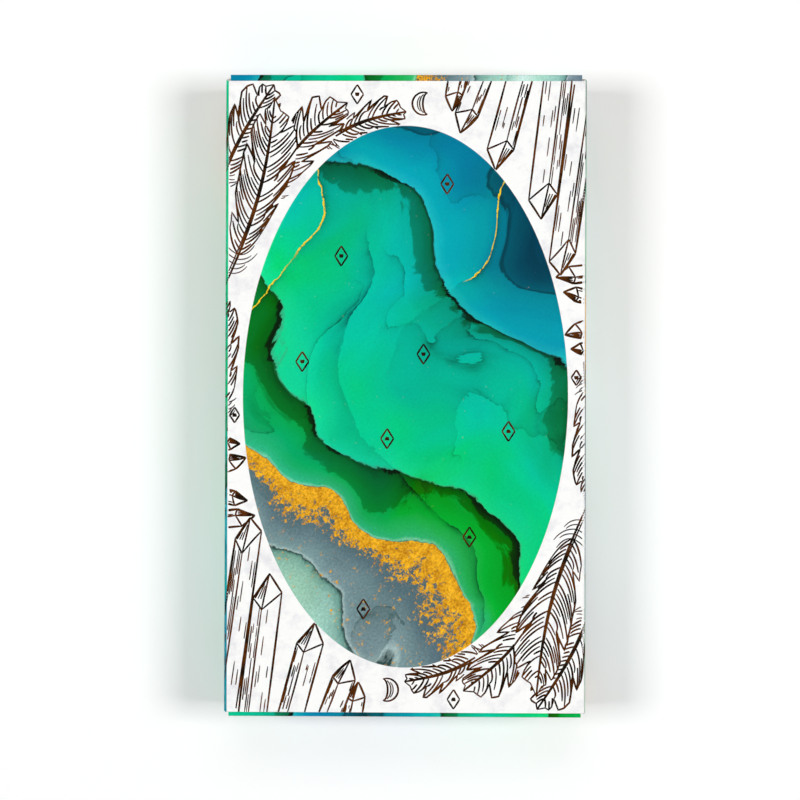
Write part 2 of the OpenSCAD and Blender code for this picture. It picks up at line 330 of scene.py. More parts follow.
# A green and a blue wash run over the bands in patches, and drops leave thin tide lines where they have dried
green_patch = noise(ink, wide, 2.1)
blue_patch = noise(ink, moved(ink, wide, (4.0, 7.0, 1.0)), 1.9)
tide_patch = noise(ink, moved(ink, wide, (9.0, 1.0, 3.0)), 2.4)
tides = noise(ink, moved(ink, edgy, (2.0, 5.0, 8.0)), 1.5, 3.0, 0.55)
green_run, blue_run = ran(2.1, -0.9), ran(-1.3, 2.2)
tide_run = calc(ink, "FRACT", calc(ink, "MULTIPLY", tides, 7.0))
layered = washed(layered, green_run, carried(ink, green_patch, 0.42, 0.56), GREEN_GLAZE)
layered = washed(layered, blue_run, carried(ink, blue_patch, 0.47, 0.6), BLUE_GLAZE)
layered = washed(layered, tide_run, carried(ink, tide_patch, 0.46, 0.6), TIDE_GLAZE)

# The pigment clouds and shifts in hue, and lies in fine grains, coarser in the greys, whose heavier pigment
# settles in the paper's hollows
clouds = carried(ink, noise(ink, edgy, 3.0, 5.0, 0.6), 0.3, 0.7, 0.9, 1.17)
hue_drift = noise(ink, moved(ink, edgy, (1.0, 3.0, 6.0)), 2.8, 3.0)
hues = carried(ink, hue_drift, 0.34, 0.66, 0.472, 0.545)
fine = noise(ink, still, 210.0, 3.0, 0.65)
coarseness = carried(ink, flow, 0.66, 0.74, 0.3, 0.95)
grains = calc(ink, "MULTIPLY_ADD", calc(ink, "SUBTRACT", fine, 0.5), coarseness, 1.0)
tone = calc(ink, "MULTIPLY", clouds, grains)
clouded = add_node(ink, "ShaderNodeHueSaturation", {"Color": layered, "Value": tone, "Hue": hues}).outputs[0]

# Gold leaf settles as veins on some of the green wash's lines, and as a drift behind the slate's line
flakes = noise(ink, still, 95.0, 5.0, 0.75)
vein = product(
    ink,
    carried(ink, green_run, 0.008, 0.012, 1.0, 0.0),
    carried(ink, green_patch, 0.5, 0.54),
    carried(ink, flakes, 0.36, 0.46),
)
drift = product(
    ink,
    carried(ink, flow, SLATE_LINE - 4 * LINE_SOFT, SLATE_LINE),
    carried(ink, flow, 0.73, 0.81, 0.95, 0.22),
    carried(ink, blue_patch, 0.36, 0.5, 0.3, 1.0),
)
drift = carried(ink, calc(ink, "SUBTRACT", drift, carried(ink, flakes, 0.3, 0.68)), -0.04, 0.08)
gilt = calc(ink, "MAXIMUM", vein, drift)
crumple = calc(ink, "ADD", noise(ink, still, 40.0, 4.0, 0.7), fine)
gold = mixed(ink, carried(ink, crumple, 0.72, 1.2), srgb(GOLD_DARK), srgb(GOLD_LIGHT))
gold = mixed(ink, vein, gold, srgb(GOLD_VEIN))
ink.links.new(mixed(ink, gilt, clouded, gold), out.inputs["Colour"])
ink.links.new(gilt, out.inputs["Gilt"])

carton_print, tree, shader = new_material("carton_print", Specular_IOR_Level=0.035)
flat_place = on_blank(tree)
flat_axes = add_node(tree, "ShaderNodeSeparateXYZ", {0: flat_place}).outputs
upright = moved(tree, flat_place, WRAP_SHIFT, 0.0, WRAP_SCALE)
aslant = calc(tree, "MULTIPLY", flat_axes["Y"], WRAP_LEAN)
lean = add_node(tree, "ShaderNodeCombineXYZ", {0: aslant}).outputs[0]
wrap_place = add_node(tree, "ShaderNodeVectorMath", {0: upright, 1: lean}, operation="ADD").outputs[0]
from_back = calc(tree, "ABSOLUTE", calc(tree, "SUBTRACT", flat_axes["X"], BACK_MIDDLE))
on_back = product(
    tree,
    carried(tree, from_back, BACK_CALM[0], BACK_STIRRED[0], 0.0, BACK_WANDER),
    carried(tree, calc(tree, "ABSOLUTE", flat_axes["Y"]), BACK_CALM[1], BACK_STIRRED[1]),
)
wrap_ink = use_group(tree, ink, Place=wrap_place, Wander=calc(tree, "ADD", on_back, WRAP_WANDER))
front_place = moved(tree, flat_place, OVAL_INK_SHIFT, OVAL_INK_TURN, OVAL_INK_SCALE)
front_ink = use_group(tree, ink, Place=front_place, Wander=OVAL_INK_WANDER)
across = calc(tree, "DIVIDE", calc(tree, "SUBTRACT", flat_axes["X"], OVAL_CENTRE[0]), OVAL_HALF[0])
along = calc(tree, "DIVIDE", calc(tree, "SUBTRACT", flat_axes["Y"], OVAL_CENTRE[1]), OVAL_HALF[1])
squares = calc(tree, "ADD", calc(tree, "MULTIPLY", across, across), calc(tree, "MULTIPLY", along, along))
in_oval = carried(tree, calc(tree, "SQRT", squares), 1 - OVAL_SOFT, 1 + OVAL_SOFT, 1.0, 0.0)
mottle = carried(tree, noise(tree, flat_place, 0.2, 6.0, 0.68), 0.48, 0.7)
ground = mixed(tree, mottle, srgb("fdfdfb"), srgb("e7e6ea"))
front_colour = mixed(tree, in_oval, ground, front_ink["Colour"])
on_front = product(
    tree,
    carried(tree, flat_axes["X"], GROUND_LEFT - BLEED_SOFT, GROUND_LEFT + BLEED_SOFT),
    carried(tree, flat_axes["X"], GROUND_RIGHT + BLEED_SOFT, GROUND_RIGHT - BLEED_SOFT),
)
printed = mixed(tree, on_front, wrap_ink["Colour"], front_colour)

# Handling rubs the ink off the long folds in places, and the white board shows through
to_fold = RUB_REACH
for fold in (-front_fold, front_fold, side_fold, glue_fold):
    away = calc(tree, "ABSOLUTE", calc(tree, "SUBTRACT", flat_axes["X"], fold))
    to_fold = calc(tree, "MINIMUM", to_fold, away)
on_fold = carried(tree, to_fold, 0.0, RUB_REACH, 1.0, 0.0)
rubs = noise(tree, moved(tree, flat_place, scale=(1.6, 0.35, 1.0)), 1.0, 6.0, 0.75)
rubbed = carried(tree, calc(tree, "ADD", on_fold, rubs), 1.46, 1.66, 0.0, 0.55)
give(tree, shader, Base_Color=mixed(tree, rubbed, printed, srgb("efeee8")))
sheen = carried(tree, noise(tree, flat_place, 0.05, 3.0), 0.3, 0.7, 0.44, 0.54)
sparkle = product(tree, front_ink["Gilt"], in_oval, on_front, 0.12)
give(tree, shader, Roughness=calc(tree, "SUBTRACT", sheen, sparkle))
ground_fibres = use_group(tree, fibres, Place=flat_place)
give(tree, shader, Normal=bumped(tree, ground_fibres["Height"], 0.06, LAMINATE_DEPTH))


# The front panel is the middle of the blank, with half of the fold at each long edge and plain cut ends.
# A panel is cut flat, cut across along its scores and then bent round the folds into its place.
FOLD_STEPS = 6
BOTTOM_EDGE, TOP_EDGE = (corner.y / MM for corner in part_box("front_panel"))
GLUE_FLAP_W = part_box("glue_flap")[1].z / MM
RIGHT_WAY = (FRONT_FLAT, SIDE_FLAT, BACK_FLAT, GLUE_FLAP_W)
LEFT_WAY = (FRONT_FLAT, DEPTH)
SHARP_TURN = math.radians(30)
PRINTED, RAW, CUT = range(3)


def on_carton(u, v, w):
    """Where a point of the flat blank lies on the folded carton, w deep in the board."""
    x, z, turned, rest = 0.0, DEPTH, 0.0, abs(u)
    for straight in RIGHT_WAY if u > 0 else LEFT_WAY:
        step = min(rest, straight)
        x += step * math.cos(turned)
        z -= step * math.sin(turned)
        rest -= step
        if rest <= 0:
            break
        bend = min(rest, FOLD_L) / FOLD_R
        x += FOLD_R * (math.sin(turned + bend) - math.sin(turned))
        z += FOLD_R * (math.cos(turned + bend) - math.cos(turned))
        turned += bend
        rest -= bend * FOLD_R
    x -= w * math.sin(turned)
    z -= w * math.cos(turned)
    return Vector((x if u > 0 else -x, v, z)) * MM


def board_object(name, bm):
    """The board's finished mesh as an object, with smooth bends and sharp cuts."""
    bmesh.ops.recalc_face_normals(bm, faces=bm.faces[:])
    for face in bm.faces:
        face.smooth = True
    for edge in bm.edges:
        edge.smooth = edge.calc_face_angle(0.0) < SHARP_TURN
    mesh = bpy.data.meshes.new(name)
    bm.to_mesh(mesh)
    bm.free()
    for material in (carton_print, raw_board, cut_edge):
        mesh.materials.append(material)
    made = bpy.data.objects.new(name, mesh)
    bpy.context.scene.collection.objects.link(made)
    return made


def cut_board(name, outline, place, scores=()):
    """A piece cut from the flat blank to an outline, cut across along its scores and put in its place."""
    bm = bmesh.new()
    face = bm.faces.new([bm.verts.new((u, v, 0)) for u, v in outline])
    grown = bmesh.ops.extrude_face_region(bm, geom=[face])["geom"]
    lower = [g for g in grown if isinstance(g, bmesh.types.BMVert)]
    bmesh.ops.translate(bm, vec=(0, 0, -BOARD_T), verts=lower)
    for u in scores:
        everything = bm.verts[:] + bm.edges[:] + bm.faces[:]
        bmesh.ops.bisect_plane(bm, geom=everything, plane_co=(u, 0, 0), plane_no=(1, 0, 0))
    bmesh.ops.recalc_face_normals(bm, faces=bm.faces[:])
    blank = bm.loops.layers.uv.new(BLANK)
    for face in bm.faces:
        face.material_index = PRINTED if face.normal.z > 0.5 else RAW if face.normal.z < -0.5 else CUT
        for loop in face.loops:
            loop[blank].uv = loop.vert.co.xy
    for vert in bm.verts:
        vert.co = place(vert.co.x, vert.co.y, -vert.co.z)
    return board_object(name, bm)


def oblong(across, along):
    """The outline of an oblong piece between two places across the blank and two along it."""
    return [(across[0], along[0]), (across[1], along[0]), (across[1], along[1]), (across[0], along[1])]


def scored(*folds):
    """The places across the blank where a panel is cut so that it can bend at these half folds."""
    return [start + (end - start) * k / FOLD_STEPS for start, end in folds for k in range(FOLD_STEPS)]


front = cut_board(
    "front_panel_board",
    oblong((-front_fold, front_fold), (BOTTOM_EDGE, TOP_EDGE)),
    on_carton,
    scored((FRONT_FLAT, front_fold), (-FRONT_FLAT, -front_fold)),
)
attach(front, "carton")
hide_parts("front_panel")


# The side panels fold down from the front. The back panel follows the right one and carries a glue flap that
# stands up inside the left side panel and is stuck to it, so the left side's back edge is a plain cut.
# The back panel has a neck at each end, where a lid is scored on.
SIDE_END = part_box("right_side_panel")[1].y / MM
NECK_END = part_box("back_panel")[1].y / MM
GLUE_LOW, GLUE_HIGH = (corner.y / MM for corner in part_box("glue_flap"))
GLUE_SLANT = 3.2
glue_end = glue_start + GLUE_FLAP_W - FOLD_R
left_end = side_start + DEPTH - FOLD_R
neck_half = FRONT_FLAT - BOARD_T
neck_right, neck_left = BACK_MIDDLE - neck_half, BACK_MIDDLE + neck_half

right_side = cut_board(
    "right_side_panel_board",
    oblong((front_fold, side_fold), (-SIDE_END, SIDE_END)),
    on_carton,
    scored((side_start, front_fold), (side_start + SIDE_FLAT, side_fold)),
)
back = cut_board(
    "back_panel_board",
    [
        (side_fold, BOTTOM_EDGE),
        (neck_right, BOTTOM_EDGE),
        (neck_right, -NECK_END),
        (neck_left, -NECK_END),
        (neck_left, BOTTOM_EDGE),
        (glue_fold, BOTTOM_EDGE),
        (glue_fold, TOP_EDGE),
        (neck_left, TOP_EDGE),
        (neck_left, NECK_END),
        (neck_right, NECK_END),
        (neck_right, TOP_EDGE),
        (side_fold, TOP_EDGE),
    ],
    on_carton,
    scored((back_start, side_fold), (back_start + BACK_FLAT, glue_fold)),
)
glue_flap = cut_board(
    "glue_flap_board",
    [
        (glue_fold, GLUE_LOW),
        (glue_end, GLUE_LOW + GLUE_SLANT),
        (glue_end, GLUE_HIGH - GLUE_SLANT),
        (glue_fold, GLUE_HIGH),
    ],
    on_carton,
    scored((glue_start, glue_fold)),
)
left_side = cut_board(
    "left_side_panel_board",
    oblong((-front_fold, -left_end), (-SIDE_END, SIDE_END)),
    on_carton,
    scored((-side_start, -front_fold)),
)
for panel, node in (
    (right_side, "right_side_panel"),
    (back, "back_panel"),
    (glue_flap, "glue_flap"),
    (left_side, "left_side_panel"),
):
    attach(panel, "carton")
    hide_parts(node)


# Sepia line drawings are printed on the white ground round the oval: feathers in two corners, crystal points
# in the other two, and moons and lozenges between them and on the ink. The upper half is drawn once and
# turned half round for the lower one. A line is a flat film of ink that swells and thins as a pen's does.
INK_T = 0.012
PEN_HALF_W = 0.2
PEN_STEP = 0.6
OFF_OVAL = 1.003
BARBS_PER_MM = 0.72
BARB_WEIGHT = (0.75, 1.0)
ARC_POINTS, MOON_STEPS = 8, 24
draw = random.Random(11)
pen_lines = []
drawn_shapes = []


def pen_line(points, weight=1.0, on_ink=False):
    """A pen line through some points of the flat front, behind the shapes that are drawn already."""
    pen_lines.append(([Vector(p) for p in points], weight, on_ink, len(drawn_shapes)))


def arc_line(start, middle, end, first=0.0, last=1.0, weight=1.0):
    """A pen line along a part of a bow that leaves start towards middle and comes in to end from it."""
    ways = [first + (last - first) * k / (ARC_POINTS - 1) for k in range(ARC_POINTS)]
    pen_line([start.lerp(middle, t).lerp(middle.lerp(end, t), t) for t in ways], weight)


def headed(heading):
    """The ways ahead and aside of a shape that points in a direction."""
    ahead = Vector((math.cos(math.radians(heading)), math.sin(math.radians(heading))))
    return ahead, Vector((-ahead.y, ahead.x))


def feather(base, heading, length, width, bow):
    """A feather: a bowed quill, wisps of down at its foot and two vanes of barbs that gape in places."""
    ahead, aside = headed(heading)
    rows = round(length * BARBS_PER_MM)

    def quill(t):
        return Vector(base) + ahead * length * t + aside * bow * math.sin(math.pi * t)

    def barb(k, side, share=1.0):
        reach = width * math.sin(math.pi * (0.16 + 0.8 * k / rows)) ** 0.7
        root = quill(0.2 + 0.7 * k / rows)
        middle = root + aside * side * reach * 0.6 + ahead * reach * 0.4
        tip = root + aside * side * reach + ahead * reach * 1.55
        return root, middle, root.lerp(tip, share)

    pen_line([quill(k / 16) for k in range(17)], 1.35)
    pen_line([quill(k / 12) + aside * 0.55 * (1 - k / 12) for k in range(13)], 0.9)
    for side in (-1, 1):
        gapes = [round(rows * draw.uniform(*span)) for span in ((0.12, 0.3), (0.4, 0.55), (0.68, 0.85))]
        rim = []
        for k in range(rows + 1):
            share = 0.5 if k in gapes else 0.8 if k - 1 in gapes else draw.uniform(0.97, 1.02)
            root, middle, tip = barb(k, side, share)
            rim.append(tip)
            part = draw.choice(((0.0, 0.45), (0.5, 1.0), (0.1, 0.8))) if k % 3 else (0.0, 1.0)
            arc_line(root, middle, tip, *part, weight=draw.uniform(*BARB_WEIGHT))
        pen_line(rim + [rim[-1].lerp(quill(1.0), 0.6), quill(1.0)], 0.95)
        for k in range(5):
            root = quill(0.1 + 0.025 * k)
            reach = width * draw.uniform(0.35, 0.75)
            curl = root + aside * side * reach * 0.7 + ahead * reach * 0.1
            wisp = root + aside * side * reach + ahead * reach * draw.uniform(0.3, 1.0)
            arc_line(root, curl, wisp, weight=0.6)
    left, right = ([barb(k, side)[2] for k in range(rows + 1)] for side in (1, -1))
    drawn_shapes.append(left + [quill(1.0)] + right[::-1])


def crystal(base, heading, length, width):
    """A crystal point: three long facets, a broken tip and hatching on its shaded side."""
    ahead, aside = headed(heading)

    def at(along, across):
        return Vector(base) + ahead * length * along + aside * width / 2 * across

    neck = 1 - 0.95 * width / length
    left, ridge, right, tip = at(neck + 0.06, -1), at(neck - 0.07, 0.3), at(neck, 1), at(1.0, 0.05)
    for start, end, weight in (
        (at(0, -1), left, 1.1),
        (at(0, 1), right, 1.3),
        (at(0, 0.3), ridge, 0.9),
        (left, tip, 1.1),
        (right, tip, 1.3),
        (ridge, tip, 0.9),
        (left, ridge, 0.9),
        (ridge, right, 0.9),
    ):
        arc_line(start, start.lerp(end, 0.5) + aside * draw.uniform(-0.25, 0.25), end, weight=weight)
    for k in range(round(length * 0.6)):
        across = 0.46 + 0.13 * (k % 4)
        foot = draw.uniform(0.0, neck - 0.15)
        pen_line([at(foot, across), at(foot + draw.uniform(0.06, 0.16), across)], draw.uniform(0.5, 0.75))
    for k in range(round(length * 0.25)):
        across = draw.uniform(-0.85, 0.1)
        foot = draw.uniform(0.0, neck - 0.1)
        pen_line([at(foot, across), at(foot + draw.uniform(0.05, 0.15), across)], 0.6)
    for k in range(3):
        foot = at(neck, 0.45 + 0.2 * k)
        pen_line([foot, foot.lerp(tip, draw.uniform(0.3, 0.75))], 0.65)
    drawn_shapes.append([at(0, -1), left, tip, right, at(0, 1)])


def lozenge(middle, size, on_ink=False):
    """A small lozenge with a dot in it."""
    middle, half_dot = Vector(middle), Vector((0, 0.35))
    corners = [middle + Vector(c) * size for c in ((0, 1.25), (0.8, 0), (0, -1.25), (-0.8, 0))]
    for start, end in zip(corners, corners[1:] + corners[:1]):
        pen_line([start, start.lerp(end, 0.5), end], 0.9, on_ink)
    pen_line([middle + half_dot, middle - half_dot], 2.2, on_ink)


def crescent(middle, size):
    """A waning moon with two strokes of shade."""
    round_edge = [math.radians(70 + 220 * k / MOON_STEPS) for k in range(MOON_STEPS + 1)]
    pen_line([Vector(middle) + Vector((math.cos(a), math.sin(a))) * size for a in round_edge], 1.0)
    horn = Vector((math.cos(round_edge[0]), math.sin(round_edge[0]))) * size
    for bulge, cut, weight in ((0.42, 0, 1.0), (0.7, 4, 0.7), (0.9, 6, 0.6)):
        ways = [math.pi * k / MOON_STEPS for k in range(cut, MOON_STEPS + 1 - cut)]
        inner = [Vector((horn.x - bulge * size * math.sin(a), horn.y * math.cos(a))) for a in ways]
        pen_line([Vector(middle) + p for p in inner], weight)


for base, heading, length, width, bow in (
    ((-35.6, 20.0), 75, 39.0, 5.0, -2.0),
    ((-28.0, 35.5), 52, 27.0, 4.4, 2.2),
    ((-17.5, 47.6), 23, 19.0, 3.3, 1.4),
    ((-34.6, -7.0), 91, 27.0, 3.2, 0.6),
    ((-37.0, 38.0), 63, 25.0, 4.2, 1.0),
):
    feather(base, heading, length, width, bow)
for base, heading, length, width in (
    ((29.6, 63.0), -97, 29.0, 5.4),
    ((22.4, 63.0), -105, 20.0, 5.0),
    ((35.0, 60.0), -98, 37.0, 4.8),
    ((15.4, 64.0), -111, 14.0, 4.4),
    ((10.4, 64.0), -100, 9.0, 3.4),
    ((37.0, 24.0), 187, 8.0, 3.4),
    ((37.0, 18.8), 168, 6.6, 2.8),
    ((37.0, 13.6), 196, 6.4, 3.0),
    ((37.0, 9.0), 178, 5.0, 2.2),
):
    crystal(base, heading, length, width)
crescent((3.4, 56.6), 2.2)
lozenge((33.1, 3.5), 1.2)
lozenge((-9.5, 58.4), 1.5)
for middle in ((-12.5, 27.0), (8.0, 41.0), (-20.0, 6.5), (3.5, 8.0)):
    lozenge(middle, 1.55, on_ink=True)


def hidden(p, shapes):
    """True if a point lies inside one of some shapes."""
    for shape in shapes:
        crossings = 0
        for a, b in zip(shape, shape[1:] + shape[:1]):
            if (a.y > p.y) != (b.y > p.y) and p.x < a.x + (b.x - a.x) * (p.y - a.y) / (b.y - a.y):
                crossings += 1
        if crossings % 2:
            return True
    return False


def trimmed(points, on_ink, shapes):
    """The runs of a pen line, in short steps, that no shape covers, on the panel and their own ground."""

    def clear(p):
        across, along = ((p[i] - OVAL_CENTRE[i]) / OVAL_HALF[i] for i in (0, 1))
        on_panel = abs(p.x) < HALF_W and BOTTOM_EDGE < p.y < TOP_EDGE
        return on_panel and (on_ink or math.hypot(across, along) > OFF_OVAL) and not hidden(p, shapes)

    def last_clear(inner, outer):
        for _ in range(5):
            middle = inner.lerp(outer, 0.5)
            inner, outer = (middle, outer) if clear(middle) else (inner, middle)
        return inner

    stepped = [points[0]]
    for start, end in zip(points, points[1:]):
        steps = max(1, math.ceil((end - start).length / PEN_STEP))
        stepped += [start.lerp(end, k / steps) for k in range(1, steps + 1)]
    runs, was_clear = [], False
    for before, p in zip(stepped[:1] + stepped, stepped):
        if clear(p):
            if not was_clear:
                runs.append([last_clear(p, before)])
            runs[-1].append(p)
        elif was_clear:
            runs[-1].append(last_clear(before, p))
        was_clear = clear(p)
    return [r for r in runs if (r[-1] - r[0]).length > PEN_STEP / 2]


pen = bpy.data.curves.new("pen", "CURVE")
pen.dimensions, pen.bevel_depth, pen.bevel_resolution, pen.use_fill_caps = "3D", 1.0, 1, True
panel_middle = Vector((0.0, (TOP_EDGE + BOTTOM_EDGE) / 2))
for points, weight, on_ink, covered in pen_lines:
    for run in trimmed(points, on_ink, drawn_shapes[:covered]):
        for placed in (run, [2 * panel_middle - p for p in run]):
            spline = pen.splines.new("POLY")
            spline.points.add(len(placed) - 1)
            for k, (point, p) in enumerate(zip(spline.points, placed)):
                point.co = (p.x, p.y, 0.0, 1.0)
                swell = math.sin(math.pi * (0.12 + 0.76 * k / (len(run) - 1))) ** 0.5
                point.radius = PEN_HALF_W * weight * swell
drawn = bpy.data.objects.new("pen", pen)
bpy.context.scene.collection.objects.link(drawn)
drawing = bpy.data.meshes.new_from_object(drawn.evaluated_get(bpy.context.evaluated_depsgraph_get()))
bpy.data.objects.remove(drawn)
for vert in drawing.vertices:
    vert.co = on_carton(vert.co.x, vert.co.y, -vert.co.z * INK_T / PEN_HALF_W / 2)

sepia, tree, shader = new_material("sepia_line", Roughness=0.5, Specular_IOR_Level=0.03)
load = noise(tree, add_node(tree, "ShaderNodeTexCoord").outputs["Object"], 260.0, 3.0, 0.6)
give(tree, shader, Base_Color=mixed(tree, carried(tree, load, 0.4, 0.62), srgb("160a01"), srgb("5d2f09")))
drawing.materials.clear()
drawing.materials.append(sepia)
line_drawing = bpy.data.objects.new("front_line_drawing", drawing)
bpy.context.scene.collection.objects.link(line_drawing)
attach(line_drawing, "carton")


# Each end closes with a dust flap scored on each side panel, then a lid scored on the back panel, whose far
# edge carries a tuck flap that slips in behind the front. A score crushes the board to a bead, and the
# printed skin bends over it, so at each score a thin skin reaches a little way onto both flaps. The bottom is
# closed first.
PIVOTS = {j["name"]: Vector(j["pos_m"]) / MM for j in frame["joints"] if j["type"] == "hinge"}
BEAD_R = BOARD_T / 2
BEAD_PLAY, BEAD_SIDES = 0.005, 20
HALF_ARC = BEAD_R * math.pi / 4
ARC_STEPS = 8
SKIN_T, SKIN_PROUD, SKIN_REACH = 0.04, 0.012, 0.8
SCORE_SLIT = 0.05
HAIR = 0.001
TUCK_LEAN = math.radians(4.5)
TUCK_L = 12.0
TUCK_CORNER = 7.0
TUCK_EAR = 0.8
LID_BEVEL, TUCK_BEVEL = 0.45, 0.68
DUST_L = 11.0
DUST_CORNER = 2.0
DUST_BACK_TAPER, DUST_FRONT_TAPER = math.radians(27), math.radians(18)
CORNER_STEPS = 14
LID_Y, LID_Z = PIVOTS["top_lid_hinge"].y, PIVOTS["top_lid_hinge"].z
TUCK_Z = PIVOTS["top_tuck_fold"].z
DUST_X, DUST_Y = PIVOTS["top_right_dust_fold"].x, PIVOTS["top_right_dust_fold"].y
LID_HALF_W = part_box("top_lid")[1].x / MM
TUCK_HALF_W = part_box("top_tuck_flap")[1].x / MM
DUST_BACK, DUST_FRONT = (corner.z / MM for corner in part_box("top_right_dust_flap"))
LID_L = TUCK_Z - LID_Z
LID_V = LID_Y + 2 * HALF_ARC
LID_END_V = LID_V + LID_L - BEAD_R - SCORE_SLIT
TUCK_V = LID_V + LID_L + 2 * HALF_ARC
DUST_V = DUST_Y + 2 * HALF_ARC
SIDE_TOP_Z = DEPTH - FOLD_R


def rounded(corners):
    """An outline with its corners rounded; each corner has its place and its radius."""
    outline = []
    for k, (u, v, radius) in enumerate(corners):
        if not radius:
            outline.append((u, v))
            continue
        here = Vector((u, v))
        before = (Vector(corners[k - 1][:2]) - here).normalized()
        after = (Vector(corners[(k + 1) % len(corners)][:2]) - here).normalized()
        half = before.angle(after) / 2
        middle = here + (before + after).normalized() * radius / math.sin(half)
        first, last = here + before * radius / math.tan(half), here + after * radius / math.tan(half)
        for step in range(CORNER_STEPS + 1):
            outline.append(tuple(middle + (first - middle).slerp(last - middle, step / CORNER_STEPS)))
    return outline


def crease(name, centre, into_a, into_b, start, end, flat):
    """The bead and the bent skin of a score between two pieces of board, from start to end along it.

    The ways into_a and into_b lead from the score into the pieces, and flat tells the place on the blank.
    """
    out_a = -(into_b - into_a * into_a.dot(into_b)).normalized()
    out_b = -(into_a - into_b * into_a.dot(into_b)).normalized()
    bend = out_a.angle(out_b)
    bead_r = BEAD_R - BEAD_PLAY
    bm = bmesh.new()
    bead = bmesh.ops.create_cone(
        bm, cap_ends=True, segments=BEAD_SIDES, radius1=bead_r, radius2=bead_r, depth=(end - start).length
    )["verts"]
    facing = (end - start).to_track_quat("Z", "Y").to_matrix().to_4x4()
    bmesh.ops.transform(bm, matrix=Matrix.Translation(centre + (start + end) / 2) @ facing, verts=bead)
    bead_faces = set(bm.faces)
    ring = []
    for radius, way in ((BEAD_R + SKIN_PROUD, 1), (BEAD_R + SKIN_PROUD - SKIN_T, -1)):
        side = [into_a * SKIN_REACH + out_a * radius]
        side += [out_a.slerp(out_b, k / ARC_STEPS) * radius for k in range(ARC_STEPS + 1)]
        side += [into_b * SKIN_REACH + out_b * radius]
        ring += side[::way]
    face = bm.faces.new([bm.verts.new(centre + start + offset) for offset in ring])
    grown = bmesh.ops.extrude_face_region(bm, geom=[face])["geom"]
    bmesh.ops.translate(bm, vec=end - start, verts=[g for g in grown if isinstance(g, bmesh.types.BMVert)])
    bmesh.ops.recalc_face_normals(bm, faces=bm.faces[:])
    blank = bm.loops.layers.uv.new(BLANK)
    along = (end - start).normalized()
    for face in bm.faces:
        off = face.calc_center_median() - centre
        outward = face.normal.dot(off - along * off.dot(along))
        ends = abs(face.normal.dot(along)) > 0.5
        face.material_index = RAW if face in bead_faces else CUT if ends else PRINTED if outward > 0 else RAW
        for loop in face.loops:
            off = loop.vert.co - centre
            if off.dot(into_a) > SKIN_REACH / 8:
                way = -HALF_ARC - off.dot(into_a)
            elif off.dot(into_b) > SKIN_REACH / 8:
                way = HALF_ARC + off.dot(into_b)
            else:
                way = HALF_ARC * (2 * (off - along * off.dot(along)).angle(out_a, 0.0) / bend - 1)
            loop[blank].uv = flat(loop.vert.co, way)
    bmesh.ops.scale(bm, vec=(MM, MM, MM), verts=bm.verts[:])
    made = board_object(name, bm)
    across = (into_b - into_a).normalized()
    across *= (BEAD_R + SKIN_PROUD) * out_b.dot(across)
    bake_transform(made)


